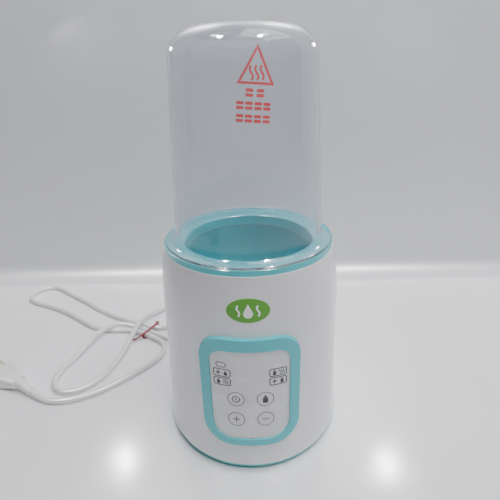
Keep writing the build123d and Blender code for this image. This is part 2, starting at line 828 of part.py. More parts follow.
with BuildPart() as cord_clamp:
    with BuildSketch(Plane.XY.offset(exit_height - 0.6)):
        with Locations((0, clamp_y)):
            Rectangle(2 * clamp_half + 8.0, 8.0)
    extrude(amount=5.6)
    with BuildSketch(Plane(origin=(0, clamp_y - 6, exit_height), x_dir=(1, 0, 0), z_dir=(0, 1, 0))):
        Circle(cord_radius + pilot_gap)
    extrude(amount=12.0, mode=Mode.SUBTRACT)
    with BuildSketch(Plane.XY.offset(exit_height - 0.7)):
        with Locations((0, clamp_y)):
            Rectangle(2 * cord_radius + 2 * pilot_gap, 9.0)
    extrude(amount=0.7, mode=Mode.SUBTRACT)
    with BuildSketch(Plane.XY.offset(exit_height - 1.0)):
        with Locations(*clamp_places):
            Circle(screw_radius + fit_gap)
    extrude(amount=8.0, mode=Mode.SUBTRACT)
keep(cord_clamp.part, "cord_clamp")
keep(screws_down(clamp_places, exit_height + 5.0 + screw_head, cover_floor_top + 2.0), "clamp_screws")

# ---- wires inside --------------------------------------------------------------------------
wire_radius = 0.9
wire_gap = 0.5


def wires(routes, name):
    with BuildPart() as bundle:
        for route in routes:
            tube, length = round_tube(route, wire_radius)
            add(tube)
    keep(bundle.part, name)


def mains_route(side):
    start_y = lead_start - wire_gap
    return [
        (side * 1.3, start_y, exit_height + 0.4),
        (side * 2.2, start_y - 4.5, exit_height + 2.2),
        (side * 4.4, start_y - 6.0, exit_height + 8.0),
        (side * 5.4, start_y - 9.0, board_top + 5.0),
        (side * 5.2, terminal_place[1] + 5.0 + wire_gap, board_top + 6.0),
    ]


def heater_route(side):
    tab_x = 27.0 + wire_gap
    return [
        (tab_x, side * 7.0, element_bottom + 2.0),
        (tab_x + 6.0, side * 7.6, element_bottom + 1.2),
        (tab_x + 9.5, side * 8.4, element_bottom - 6.0),
        (tab_x + 9.0, 4.0 + side * 6.0, 50.0),
        (tab_x + 8.2, 5.0 + side * 4.0, 36.0),
        (tab_x + 9.0, 5.0 + side * 3.0, board_top + wire_gap),
    ]


def sensor_route(side):
    x, y = sensor_place
    return [
        (x + side * 1.3, y, plate_bottom - 8.0 - wire_gap),
        (x + 1.0 + side * 1.4, y - 1.6, plate_bottom - 18.0),
        (x + 1.2 + side * 1.3, y - 1.0, 56.0),
        (x - 4.0 + side * 1.3, y + 4.0, 40.0),
        (x - 8.0 + side * 1.3, y + 4.6, board_top + wire_gap),
    ]


wires([mains_route(side) for side in (-1, 1)], "mains_wires")
wires([heater_route(side) for side in (-1, 1)], "heater_wires")
wires([sensor_route(side) for side in (-1, 1)], "sensor_wires")

ribbon_x = -8.0
ribbon_width = 12.0
ribbon_thickness = 1.2
with BuildPart() as ribbon:
    with BuildLine() as ribbon_path:
        FilletPolyline(
            (ribbon_x, board_centre_y - board_length / 2 + 4.0, board_top + wire_gap),
            (ribbon_x, board_centre_y - board_length / 2 + 2.0, board_top + 12.0),
            (ribbon_x, display_y + 10.0, board_top + 22.0),
            (ribbon_x, display_y + 7.0, panel_mid - 16.0),
            (ribbon_x, display_y + display_thickness + wire_gap, panel_mid - 14.0),
            radius=[5.0, 6.0, 1.4],
        )
    with BuildSketch(Plane(origin=ribbon_path.wire() @ 0, z_dir=ribbon_path.wire() % 0, x_dir=(1, 0, 0))):
        Rectangle(ribbon_width, ribbon_thickness)
    sweep(path=ribbon_path.wire())
keep(ribbon.part, "display_cable")

# ---- cord, tie and plug --------------------------------------------------------------------
floor_line = 3.1
tie_line = 3.7
route = [
    (0, relief_tip, exit_height),
    (0, relief_tip + 13.8, exit_height),
    (-2, relief_tip + 27.8, 9.8),
    (-9, relief_tip + 41.8, 4.6),
    (-24, relief_tip + 54.8, floor_line),
    (-45, relief_tip + 62.8, floor_line),
    (-68, relief_tip + 65.8, floor_line),
    (-92, 169, floor_line),
    (-113, 160, floor_line),
    (-127.5, 147, 3.6),
    (-138.5, 123.5, 10.8),
    (-142.5, 96.5, 10.8),
    (-145.5, 70, 3.5),
    (-149, 48, floor_line),
    (-154.5, 29, floor_line),
    (-163, 15.5, floor_line),
    (-175, 6.5, floor_line),
    (-189.5, 5, floor_line),
    (-201, 13, floor_line),
    (-205, 27, floor_line),
    (-202.5, 44, floor_line),
    (-196, 62, 3.6),
    (-189.5, 81, 9.0),
    (-182, 97.5, 10.2),
    (-172.5, 110.5, 10.0),
    (-159.5, 115.8, 6.0),
    (-146.5, 113, 3.9),
    (-133.5, 107, tie_line),
    (-113.5, 96.2, tie_line),
    (-95.5, 86, 3.3),
    (-82.5, 83.5, floor_line),
    (-71, 89, floor_line),
    (-64.5, 100.5, floor_line),
    (-65, 113.5, floor_line),
    (-73, 124, floor_line),
    (-85.5, 127.5, floor_line),
    (-98, 123, 3.2),
    (-106, 113.5, 3.4),
    (-118, 110, tie_line),
    (-132, 113.7, tie_line),
    (-152, 124, 3.4),
    (-170, 132, floor_line),
    (-188, 142, floor_line),
    (-211, 157.5, floor_line),
    (-236, 177.5, floor_line),
    (-262, 195, floor_line),
    (-284, 212, floor_line),
    (-297.5, 218.5, floor_line),
    (-311, 217, floor_line),
    (-320.5, 207.5, floor_line),
    (-322.5, 194.5, floor_line),
    (-316.5, 182.5, floor_line),
    (-303, 174, floor_line),
    (-281, 166, floor_line),
    (-256, 153, floor_line),
    (-231, 137.5, floor_line),
    (-207, 118.5, floor_line),
    (-191, 110.6, floor_line),
    (-175, 107.3, floor_line),
    (-158, 107.5, 3.2),
    (-141, 103.2, tie_line),
    (-121.5, 92.8, tie_line),
    (-109.5, 85.5, 3.4),
    (-101.5, 75, floor_line),
    (-101, 62, floor_line),
    (-107.5, 50, floor_line),
    (-118, 37.5, floor_line),
    (-132.5, 22.5, floor_line),
    (-148.5, 8.5, floor_line),
    (-166, -1.5, floor_line),
    (-184.5, -6.5, floor_line),
    (-203, -5, 3.3),
    (-218, 4, 5.2),
]
power_cord, cord_length = round_tube(route, cord_radius)
keep(power_cord, "power_cord")
cord_radii = corner_radii(route)
print("cord length", round(cord_length, 1), "mm, radii", [round(radius) for radius in cord_radii])
print("cord volume over section times length", round(power_cord.volume / (pi * cord_radius**2 * cord_length), 4))

plug_tail = Vector(*route[-1])
plug_line = (plug_tail - Vector(*route[-2])).normalized()
plug_flat = Vector(plug_line.X, plug_line.Y, 0).normalized()
plug_across = Vector(-plug_flat.Y, plug_flat.X, 0)
plug_axis = 7.6
sleeve_length = 20.0
body_length = 32.0
tail_plane = Plane(origin=plug_tail, x_dir=plug_across, z_dir=plug_line)
neck = plug_tail + plug_flat * sleeve_length
neck_plane = Plane(origin=(neck.X, neck.Y, plug_axis), x_dir=plug_across, z_dir=plug_flat)
blade_length = 17.0
blade_width = 6.3
blade_thickness = 1.5
blade_pitch = 12.7

with BuildPart() as plug:
    with BuildSketch(tail_plane):
        Circle(cord_radius + 0.8)
    with BuildSketch(neck_plane):
        Circle(5.0)
    loft()
    with BuildSketch(neck_plane):
        RectangleRounded(14.0, 10.0, 4.5)
    with BuildSketch(neck_plane.offset(body_length * 0.45)):
        RectangleRounded(24.0, 14.6, 5.0)
    with BuildSketch(neck_plane.offset(body_length)):
        RectangleRounded(25.0, 14.8, 4.0)
    loft(ruled=True)
    with BuildSketch(neck_plane.offset(body_length)):
        with Locations((-blade_pitch / 2, 0), (blade_pitch / 2, 0)):
            Rectangle(blade_thickness, blade_width)
    extrude(amount=-8.0, mode=Mode.SUBTRACT)
keep(plug.part, "plug_body")

with BuildPart() as blades:
    with BuildSketch(neck_plane.offset(body_length - 8.0)):
        with Locations((-blade_pitch / 2, 0), (blade_pitch / 2, 0)):
            Rectangle(blade_thickness, blade_width)
    extrude(amount=8.0 + blade_length)
    with BuildSketch(Plane(origin=neck_plane.origin, x_dir=plug_flat, z_dir=plug_across).offset(-20.0)):
        with Locations((body_length + blade_length - 3.5, 0)):
            Circle(1.6)
    extrude(amount=40.0, mode=Mode.SUBTRACT)
keep(blades.part, "plug_blades")

tie_centre = Vector(-125.6, 103.0, 0)
tie_along = Vector(0.88, -0.475, 0).normalized()
tie_across = Vector(-tie_along.Y, tie_along.X, 0)
tie_far = 13.6
tie_near = 12.2
tie_thickness = 0.7
tie_width = 3.2
tie_plane = Plane(origin=tie_centre - tie_along * (tie_width / 2), x_dir=tie_across, z_dir=tie_along)
tie_inside_low = tie_line - cord_radius - 0.1
tie_inside_high = tie_line + cord_radius + 0.25
with BuildPart() as tie:
    with BuildSketch(tie_plane):
        with Locations(((tie_far - tie_near) / 2, (tie_inside_low + tie_inside_high) / 2)):
            RectangleRounded(
                tie_far + tie_near + 2 * tie_thickness,
                tie_inside_high - tie_inside_low + 2 * tie_thickness,
                3.4,
            )
            RectangleRounded(tie_far + tie_near, tie_inside_high - tie_inside_low, 2.7, mode=Mode.SUBTRACT)
    extrude(amount=tie_width)
keep(tie.part, "cord_tie")
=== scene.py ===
import json
import math

import bpy
from mathutils import Matrix, Vector
from mathutils.bvhtree import BVHTree

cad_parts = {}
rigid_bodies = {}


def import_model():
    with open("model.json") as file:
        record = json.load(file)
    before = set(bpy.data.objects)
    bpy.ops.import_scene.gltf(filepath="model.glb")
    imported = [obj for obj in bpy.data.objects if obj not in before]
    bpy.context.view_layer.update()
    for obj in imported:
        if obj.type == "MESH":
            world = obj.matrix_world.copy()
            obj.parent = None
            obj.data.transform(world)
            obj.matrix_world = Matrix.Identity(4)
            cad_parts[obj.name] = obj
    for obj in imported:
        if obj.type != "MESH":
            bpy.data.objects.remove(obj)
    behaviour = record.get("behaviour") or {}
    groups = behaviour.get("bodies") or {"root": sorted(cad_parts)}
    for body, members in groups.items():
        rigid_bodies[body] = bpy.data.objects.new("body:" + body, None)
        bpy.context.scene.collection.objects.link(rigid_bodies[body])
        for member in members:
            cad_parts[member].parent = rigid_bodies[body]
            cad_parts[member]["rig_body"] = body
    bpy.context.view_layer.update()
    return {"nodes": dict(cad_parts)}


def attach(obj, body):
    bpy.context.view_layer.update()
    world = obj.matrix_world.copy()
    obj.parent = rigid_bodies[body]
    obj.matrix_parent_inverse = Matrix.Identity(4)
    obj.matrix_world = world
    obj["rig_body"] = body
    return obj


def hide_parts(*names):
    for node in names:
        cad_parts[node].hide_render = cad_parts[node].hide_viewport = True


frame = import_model()
nodes = frame["nodes"]
scene = bpy.context.scene
MM = 0.001

# ---- camera --------------------------------------------------------------------------------
heading = -0.020066
tilt = 0.41485
roll = -0.027741
camera_place = Vector((6.49, -275.37, 276.21))
focal_length = 27.0
sensor_width = 36.0
level = Vector((math.cos(heading), -math.sin(heading), 0))
ahead = Vector((math.sin(heading), math.cos(heading), 0))
look = Vector((ahead.x * math.cos(tilt), ahead.y * math.cos(tilt), -math.sin(tilt)))
rise = level.cross(look)
right = level * math.cos(roll) + rise * math.sin(roll)
up = rise * math.cos(roll) - level * math.sin(roll)
camera_data = bpy.data.cameras.new("camera")
camera_data.lens = focal_length
camera_data.sensor_width = sensor_width
camera_data.clip_start = 0.01
camera_data.clip_end = 50.0
camera = bpy.data.objects.new("camera", camera_data)
scene.collection.objects.link(camera)
facing = Matrix((right, up, -look)).transposed().to_4x4()
camera.matrix_world = Matrix.Translation(camera_place * MM) @ facing
scene.camera = camera

# ---- cord ----------------------------------------------------------------------------------
cord_diameter = 5.8
cord_bevel_steps = 8
cord_curve_steps = 10
# the middle of the cord, in millimetres, from the strain relief to the plug
route = [
    (0, 107.2, 14),
    (0, 121, 14),
    (-2, 135, 9.8),
    (-9, 149, 4.6),
    (-24, 162, 3.1),
    (-45, 170, 3.1),
    (-68, 173, 3.1),
    (-92, 169, 3.1),
    (-113, 160, 3.1),
    (-127.5, 147, 3.6),
    (-138.5, 123.5, 10.8),
    (-142.5, 96.5, 10.8),
    (-145.5, 70, 3.5),
    (-149, 48, 3.1),
    (-154.5, 29, 3.1),
    (-163, 15.5, 3.1),
    (-175, 6.5, 3.1),
    (-189.5, 5, 3.1),
    (-201, 13, 3.1),
    (-205, 27, 3.1),
    (-202.5, 44, 3.1),
    (-196, 62, 3.6),
    (-189.5, 81, 9.0),
    (-182, 97.5, 10.2),
    (-172.5, 110.5, 10.0),
    (-159.5, 115.8, 6.0),
    (-146.5, 113, 3.9),
    (-133.5, 107, 3.7),
    (-113.5, 96.2, 3.7),
    (-95.5, 86, 3.3),
    (-82.5, 83.5, 3.1),
    (-71, 89, 3.1),
    (-64.5, 100.5, 3.1),
    (-65, 113.5, 3.1),
    (-73, 124, 3.1),
    (-85.5, 127.5, 3.1),
    (-98, 123, 3.2),
    (-106, 113.5, 3.4),
    (-118, 110, 3.7),
    (-132, 113.7, 3.7),
    (-152, 124, 3.4),
    (-170, 132, 3.1),
    (-188, 142, 3.1),
    (-211, 157.5, 3.1),
    (-236, 177.5, 3.1),
    (-262, 195, 3.1),
    (-284, 212, 3.1),
    (-297.5, 218.5, 3.1),
    (-311, 217, 3.1),
    (-320.5, 207.5, 3.1),
    (-322.5, 194.5, 3.1),
    (-316.5, 182.5, 3.1),
    (-303, 174, 3.1),
    (-281, 166, 3.1),
    (-256, 153, 3.1),
    (-231, 137.5, 3.1),
    (-207, 118.5, 3.1),
    (-191, 110.6, 3.1),
    (-175, 107.3, 3.1),
    (-158, 107.5, 3.2),
    (-141, 103.2, 3.7),
    (-121.5, 92.8, 3.7),
    (-109.5, 85.5, 3.4),
    (-101.5, 75, 3.1),
    (-101, 62, 3.1),
    (-107.5, 50, 3.1),
    (-118, 37.5, 3.1),
    (-132.5, 22.5, 3.1),
    (-148.5, 8.5, 3.1),
    (-166, -1.5, 3.1),
    (-184.5, -6.5, 3.1),
    (-203, -5, 3.3),
    (-218, 4, 5.2),
]
cord_curve = bpy.data.curves.new("cord", "CURVE")
cord_curve.dimensions = "3D"
cord_line = cord_curve.splines.new("NURBS")
cord_line.points.add(len(route) - 1)
for point, place in zip(cord_line.points, route):
    point.co = (*(Vector(place) * MM), 1)
    point.radius = cord_diameter / 2 * MM
cord_line.order_u = 3
cord_line.use_endpoint_u = True
cord_curve.resolution_u = cord_curve_steps
# the radius of each point is the cord's own, so the bevel only multiplies it by one
cord_curve.bevel_depth = 1.0
cord_curve.bevel_resolution = cord_bevel_steps
cord_curve.use_fill_caps = True
cord = bpy.data.objects.new("free_cord", cord_curve)
scene.collection.objects.link(cord)
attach(cord, "housing")
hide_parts("power_cord")


# ---- materials -----------------------------------------------------------------------------
# a mix node has one set of sockets for each kind of data: these are the colour ones
MIX_COLOUR_INPUTS = (0, 6, 7)
MIX_COLOUR_OUTPUT = 2
drift_scale = 14.0
gloss_scale = 45.0
coat_roughness = 0.06
lowest_roughness = 0.02


def set_node(tree, kind, **inputs):
    """A shader node with the values of some of its inputs set."""
    node = tree.nodes.new(kind)
    for name, value in inputs.items():
        node.inputs[name].default_value = value
    return node


def noise(tree, place, scale, detail=3.0, roughness=0.55):
    """Fractal noise around 0.5, with scale in features per metre."""
    node = set_node(tree, "ShaderNodeTexNoise", Scale=scale, Detail=detail, Roughness=roughness)
    tree.links.new(place, node.inputs["Vector"])
    return node.outputs["Fac"]


def between(tree, value, low, high, start=0.3, end=0.7):
    """The value's range from start to end, spread over low to high."""
    node = tree.nodes.new("ShaderNodeMapRange")
    tree.links.new(value, node.inputs["Value"])
    node.inputs["From Min"].default_value = start
    node.inputs["From Max"].default_value = end
    node.inputs["To Min"].default_value = low
    node.inputs["To Max"].default_value = high
    return node.outputs["Result"]


def blended(tree, share, first, second):
    """A colour between two colours, by a share from another node."""
    node = tree.nodes.new("ShaderNodeMix")
    node.data_type = "RGBA"
    factor, first_colour, second_colour = (node.inputs[k] for k in MIX_COLOUR_INPUTS)
    tree.links.new(share, factor)
    first_colour.default_value = (*first, 1)
    second_colour.default_value = (*second, 1)
    return node.outputs[MIX_COLOUR_OUTPUT]


def surface(
    name, colour, rough, metal=0.0, coat=0.0, grain=900.0, relief=0.02, shade=0.05, smudge=0.05
):
    """A solid finish: slow colour drift, smudged gloss and a fine moulded or rolled grain."""
    material = bpy.data.materials.new(name)
    material.use_nodes = True
    tree = material.node_tree
    shader = tree.nodes["Principled BSDF"]
    place = tree.nodes.new("ShaderNodeTexCoord").outputs["Object"]
    drift = between(tree, noise(tree, place, drift_scale), 0.0, 1.0)
    darker = tuple(c * (1 - shade) for c in colour)
    tree.links.new(blended(tree, drift, darker, colour), shader.inputs["Base Color"])
    smudges = noise(tree, place, gloss_scale, 5.0, 0.6)
    gloss = between(tree, smudges, max(rough - smudge, lowest_roughness), rough + smudge)
    tree.links.new(gloss, shader.inputs["Roughness"])
    shader.inputs["Metallic"].default_value = metal
    shader.inputs["Coat Weight"].default_value = coat
    shader.inputs["Coat Roughness"].default_value = coat_roughness
    bump = set_node(tree, "ShaderNodeBump", Strength=0.4, Distance=relief * MM)
    tree.links.new(noise(tree, place, grain, 4.0), bump.inputs["Height"])
    tree.links.new(bump.outputs["Normal"], shader.inputs["Normal"])
    return material


white_gloss = surface(
    "white_gloss", (0.72, 0.72, 0.75), 0.18, coat=0.35, grain=300.0, relief=0.010, shade=0.03
)
white_matte = surface("white_matte", (0.75, 0.75, 0.74), 0.48)
teal_gloss = surface(
    "teal_gloss", (0.048, 0.47, 0.53), 0.18, coat=0.3, grain=300.0, relief=0.008
)
teal_satin = surface("teal_satin", (0.055, 0.47, 0.49), 0.33)
# the pot is the ring's teal plastic made darker: painted shade for the shadow inside the pot
teal_pot = surface("teal_pot", (0.022, 0.31, 0.35), 0.30, relief=0.03)
panel_white = surface("panel_white", (0.66, 0.66, 0.68), 0.26, grain=1400.0, shade=0.02)
badge_green = surface("badge_green", (0.085, 0.34, 0.015), 0.32, coat=0.2, grain=1800.0)
print_white = surface("print_white", (0.85, 0.85, 0.84), 0.40, grain=2500.0)
print_grey = surface("print_grey", (0.030, 0.032, 0.036), 0.42, grain=2500.0)
print_red = surface("print_red", (0.66, 0.045, 0.050), 0.42, grain=2500.0)
rubber = surface("rubber_grey", (0.20, 0.20, 0.21), 0.72, grain=1600.0, relief=0.05)
silicone = surface("gasket_silicone", (0.12, 0.33, 0.36), 0.45)
screw_steel = surface("screw_steel", (0.60, 0.60, 0.60), 0.30, metal=1.0, relief=0.01)
plate_steel = surface("plate_steel", (0.66, 0.66, 0.65), 0.24, metal=1.0, relief=0.015)
aluminium = surface("element_aluminium", (0.70, 0.70, 0.71), 0.38, metal=1.0, relief=0.03)
dark_part = surface("component_dark", (0.045, 0.045, 0.05), 0.42, relief=0.04)
board_green = surface("board_green", (0.03, 0.20, 0.08), 0.30, grain=500.0)
foam = surface("foam_black", (0.05, 0.05, 0.055), 0.9, grain=2200.0, relief=0.2)
lamp_white = surface("lamp_white", (0.88, 0.88, 0.84), 0.15, coat=0.5)
relay_blue = surface("relay_blue", (0.06, 0.16, 0.42), 0.28)
terminal_green = surface("terminal_green", (0.08, 0.34, 0.15), 0.38)
cord_white = surface(
    "cord_white", (0.76, 0.76, 0.76), 0.36, grain=700.0, relief=0.03, shade=0.06
)
plug_white = surface("plug_white", (0.75, 0.75, 0.75), 0.42, grain=1100.0, relief=0.03)
wire_red = surface("wire_red", (0.46, 0.04, 0.035), 0.45)
wire_black = surface("wire_black", (0.045, 0.045, 0.045), 0.45)
cable_grey = surface("cable_grey", (0.42, 0.43, 0.45), 0.5)
brass = surface("blade_brass", (0.78, 0.70, 0.52), 0.22, metal=1.0, relief=0.01)
tie_red = surface("tie_red", (0.26, 0.025, 0.035), 0.40, grain=1500.0, relief=0.04)


haze_colour = (0.80, 0.82, 0.86, 1)
plastic_index = 1.46


def mixed(tree, share, first, second):
    """A shader between two shaders, by a share that is a number or another node's output."""
    node = tree.nodes.new("ShaderNodeMixShader")
    if isinstance(share, float):
        node.inputs[0].default_value = share
    else:
        tree.links.new(share, node.inputs[0])
    tree.links.new(first, node.inputs[1])
    tree.links.new(second, node.inputs[2])
    return node.outputs[0]


def combined(tree, operation, first, second):
    """Two nodes' values, multiplied or otherwise combined."""
    node = tree.nodes.new("ShaderNodeMath")
    node.operation = operation
    tree.links.new(first, node.inputs[0])
    tree.links.new(second, node.inputs[1])
    return node.outputs[0]


def clear_plastic(name, tint, haze, rough, cast):
    """Clear moulded plastic: refraction with a faint milky haze, thicker towards the edge.

    Shadow and diffuse rays see it as plain tinted transparency, so that its shadow stays light.
    """
    material = bpy.data.materials.new(name)
    material.use_nodes = True
    tree = material.node_tree
    shader = tree.nodes["Principled BSDF"]
    end = tree.nodes["Material Output"]
    place = tree.nodes.new("ShaderNodeTexCoord").outputs["Object"]
    shader.inputs["Base Color"].default_value = (*tint, 1)
    shader.inputs["Transmission Weight"].default_value = 1.0
    shader.inputs["IOR"].default_value = plastic_index
    gloss = between(tree, noise(tree, place, 30.0, 4.0), rough * 0.6, rough * 1.5)
    tree.links.new(gloss, shader.inputs["Roughness"])
    bump = set_node(tree, "ShaderNodeBump", Strength=0.25, Distance=0.02 * MM)
    tree.links.new(noise(tree, place, 60.0, 3.0), bump.inputs["Height"])
    tree.links.new(bump.outputs["Normal"], shader.inputs["Normal"])
    milk = set_node(tree, "ShaderNodeBsdfDiffuse", Color=haze_colour)
    glow = set_node(tree, "ShaderNodeBsdfTranslucent", Color=haze_colour)
    cloud = mixed(tree, 0.5, milk.outputs[0], glow.outputs[0])
    edge = tree.nodes.new("ShaderNodeLayerWeight")
    edge.inputs["Blend"].default_value = 0.35
    spread = between(tree, edge.outputs["Facing"], haze, haze * 3.0, 0.1, 0.95)
    patchy = between(tree, noise(tree, place, 8.0, 4.0), 0.85, 1.15)
    amount = combined(tree, "MULTIPLY", spread, patchy)
    body = mixed(tree, amount, shader.outputs[0], cloud)
    path = tree.nodes.new("ShaderNodeLightPath").outputs
    either = combined(tree, "MAXIMUM", path["Is Shadow Ray"], path["Is Diffuse Ray"])
    through = set_node(tree, "ShaderNodeBsdfTransparent", Color=(*cast, 1))
    whole = mixed(tree, either, body, through.outputs[0])
    tree.links.new(whole, end.inputs["Surface"])
    return material


dome_clear = clear_plastic("dome_clear", (0.86, 0.875, 0.90), 0.03, 0.03, (0.90, 0.91, 0.93))
rack_clear = clear_plastic("rack_clear", (0.80, 0.95, 0.95), 0.30, 0.25, (0.75, 0.82, 0.83))

finishes = {
    white_gloss: ["outer_housing"],
    white_matte: ["panel_carrier", "cord_clamp"],
    teal_gloss: ["panel_bezel", "top_ring"],
    teal_satin: ["base_cover"],
    teal_pot: ["heating_pot"],
    panel_white: ["touch_panel"],
    badge_green: ["badge"],
    rubber: ["rubber_feet"],
    silicone: ["pot_gasket", "plate_seal"],
    screw_steel: [
        "base_screws",
        "pot_screws",
        "heater_screws",
        "display_screws",
        "board_screws",
        "clamp_screws",
    ],
    plate_steel: ["heater_plate", "heater_clamp", "temperature_sensor"],
    aluminium: ["heating_element"],
    dark_part: [
        "thermostat",
        "thermal_fuse",
        "display_module",
        "transformer",
        "filter_capacitor",
        "buzzer",
    ],
    rack_clear: ["bottle_rack"],
    dome_clear: ["dome_cover"],
    board_green: ["display_board", "control_board"],
    foam: ["touch_pads"],
    lamp_white: ["indicator_lights"],
    relay_blue: ["relay"],
    terminal_green: ["terminal_block"],
    cord_white: ["strain_relief", "mains_lead"],
    plug_white: ["plug_body"],
    wire_red: ["mains_wires", "heater_wires"],
    wire_black: ["sensor_wires"],
    cable_grey: ["display_cable"],
    brass: ["plug_blades"],
    tie_red: ["cord_tie"],
}
for material, names in finishes.items():
    for name in names:
        nodes[name].data.materials.clear()
        nodes[name].data.materials.append(material)
cord_curve.materials.append(cord_white)


# ---- printed marks -------------------------------------------------------------------------
def arc(centre, radius, start, end, steps=40):
    turns = [math.radians(start + (end - start) * i / steps) for i in range(steps + 1)]
    return [(centre[0] + radius * math.cos(t), centre[1] + radius * math.sin(t)) for t in turns]


def ring(centre, radius):
    return arc(centre, radius, 0, 360, 60)[:-1]


def rounded_box(centre, wide, tall, corner):
    x, y = centre
    a, b = wide / 2 - corner, tall / 2 - corner
    middles = [(x + a, y + b), (x - a, y + b), (x - a, y - b), (x + a, y - b)]
    corners = zip(middles, (0, 90, 180, 270))
    return [p for c, start in corners for p in arc(c, corner, start, start + 90, 6)]


def drop(centre, size):
    x, y = centre
    belly = arc((x, y - size * 0.18), size * 0.32, -210, 30, 24)
    return [(x, y + size * 0.5), *reversed(belly)]


def wave(centre, tall, swing, steps=16):
    x, y = centre
    return [
        (x + swing * math.sin(2 * math.pi * i / steps), y - tall / 2 + tall * i / steps)
        for i in range(steps + 1)
    ]


def flat_wave(centre, wide, swing):
    """The same wave turned to run along x."""
    upright = wave(centre, wide, swing)
    return [(centre[0] + y - centre[1], centre[1] + x - centre[0]) for x, y in upright]


def split(line, step=0.7):
    """The same line with points at most step apart."""
    out = [line[0]]
    for a, b in zip(line, line[1:]):
        n = max(1, math.ceil(math.dist(a, b) / step))
        across, along = b[0] - a[0], b[1] - a[1]
        out += [(a[0] + across * i / n, a[1] + along * i / n) for i in range(1, n + 1)]
    return out


inner_share = 0.45


class Sheet:
    """Flat ink shapes in millimetres, laid onto a CAD surface around the Z axis."""

    def __init__(self, name, node, azimuth, height, material, lift=0.05, lean=0.0):
        self.name, self.material = name, material
        self.lift, self.lean = lift, math.radians(lean)
        mesh = nodes[node].data
        mesh.calc_loop_triangles()
        places = [v.co for v in mesh.vertices]
        self.tree = BVHTree.FromPolygons(places, [t.vertices for t in mesh.loop_triangles])
        self.azimuth, self.height = math.radians(azimuth), height
        self.points, self.faces = [], []
        self.body = nodes[node]["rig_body"]
        # the middle lands in the same place for any radius, and gives the real one
        self.radius = 1.0
        middle = self.land(0, 0)
        self.radius = math.hypot(middle.x, middle.y) / MM

    def land(self, x, y):
        """The place on the surface for a place on the flat sheet."""
        u = x * math.cos(self.lean) - y * math.sin(self.lean)
        v = x * math.sin(self.lean) + y * math.cos(self.lean)
        turn = self.azimuth + u / self.radius
        out = Vector((math.sin(turn), -math.cos(turn), 0))
        start = out * 0.3 + Vector((0, 0, (self.height + v) * MM))
        hit, normal, _, _ = self.tree.ray_cast(start, -out)
        if normal.dot(out) < 0:
            normal = -normal
        return hit + normal * (self.lift * MM)

    def strip(self, left, right, closed):
        """Faces between two lines with the same number of points."""
        base = len(self.points)
        for a, b in zip(left, right):
            self.points += [self.land(*a), self.land(*b)]
        count = len(left)
        for i in range(count if closed else count - 1):
            j = (i + 1) % count
            self.faces.append((base + 2 * i, base + 2 * i + 1, base + 2 * j + 1, base + 2 * j))

    def stroke(self, line, width, closed=False):
        """A line of constant width, mitred at its corners."""
        line = split([*line, line[0]] if closed else list(line))
        if closed:
            line = line[:-1]
        left, right = [], []
        count = len(line)
        for i, (x, y) in enumerate(line):
            before = line[i - 1] if i or closed else line[i]
            after = line[(i + 1) % count] if i < count - 1 or closed else line[i]
            a = Vector((x - before[0], y - before[1])).normalized()
            b = Vector((after[0] - x, after[1] - y)).normalized()
            along = (a + b).normalized()
            side = Vector((-along.y, along.x))
            straight = b if a.length == 0 else a
            square = Vector((-straight.y, straight.x))
            reach = width / 2 / max(side.dot(square), 0.5)
            left.append((x + side.x * reach, y + side.y * reach))
            right.append((x - side.x * reach, y - side.y * reach))
        self.strip(left, right, closed)
        return self

    def fill(self, outline):
        """A filled outline that can be seen whole from its middle."""
        outline = split([*outline, outline[0]])[:-1]
        cx = sum(p[0] for p in outline) / len(outline)
        cy = sum(p[1] for p in outline) / len(outline)
        shrunk = [(cx + (x - cx) * inner_share, cy + (y - cy) * inner_share) for x, y in outline]
        self.strip(outline, shrunk, True)
        base = len(self.points)
        self.points += [self.land(cx, cy), *(self.land(*p) for p in shrunk)]
        count = len(shrunk)
        self.faces += [(base, base + 1 + i, base + 1 + (i + 1) % count) for i in range(count)]
        return self

    def done(self):
        """The sheet as a piece that rides with the node's body."""
        mesh = bpy.data.meshes.new(self.name)
        mesh.from_pydata([tuple(p) for p in self.points], [], self.faces)
        mesh.materials.append(self.material)
        for face in mesh.polygons:
            face.use_smooth = True
        piece = bpy.data.objects.new(self.name, mesh)
        scene.collection.objects.link(piece)
        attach(piece, self.body)
        return piece


def bottle(sheet, x, y, size):
    sheet.fill(rounded_box((x, y - size * 0.16), size * 0.52, size * 0.62, size * 0.12))
    sheet.fill(rounded_box((x, y + size * 0.22), size * 0.42, size * 0.11, size * 0.04))
    sheet.fill(drop((x, y + size * 0.36), size * 0.34))


# places on the panel are an azimuth in degrees and a height in millimetres
key_azimuth = 8.1
upper_key = 71.7
lower_key = 53.5
key_ring = 6.0
key_line = 0.6
sign_line = 0.75
sign_reach = 2.6
power = Sheet("mark_power", "touch_panel", -key_azimuth, upper_key, print_grey)
power.stroke(ring((0, 0), key_ring), key_line, True)
power.stroke(ring((0, 0), sign_reach), sign_line, True)
power.stroke([(0, -1.3), (0, 1.5)], 0.8).done()
feed = Sheet("mark_bottle", "touch_panel", key_azimuth, upper_key, print_grey)
feed.stroke(ring((0, 0), key_ring), key_line, True)
bottle(feed, 0, 0, 7.6)
feed.done()
more = Sheet("mark_plus", "touch_panel", -key_azimuth, lower_key, print_grey)
more.stroke(ring((0, 0), key_ring), key_line, True)
more.stroke([(-sign_reach, 0), (sign_reach, 0)], sign_line)
more.stroke([(0, -sign_reach), (0, sign_reach)], sign_line).done()
less = Sheet("mark_minus", "touch_panel", key_azimuth, lower_key, print_grey)
less.stroke(ring((0, 0), key_ring), key_line, True)
less.stroke([(-sign_reach, 0), (sign_reach, 0)], sign_line).done()

lamp = Sheet("mark_lamp", "touch_panel", -15.7, 100.6, print_grey)
lamp.stroke(rounded_box((0, 0), 7.0, 4.0, 1.9), 0.7, True).done()

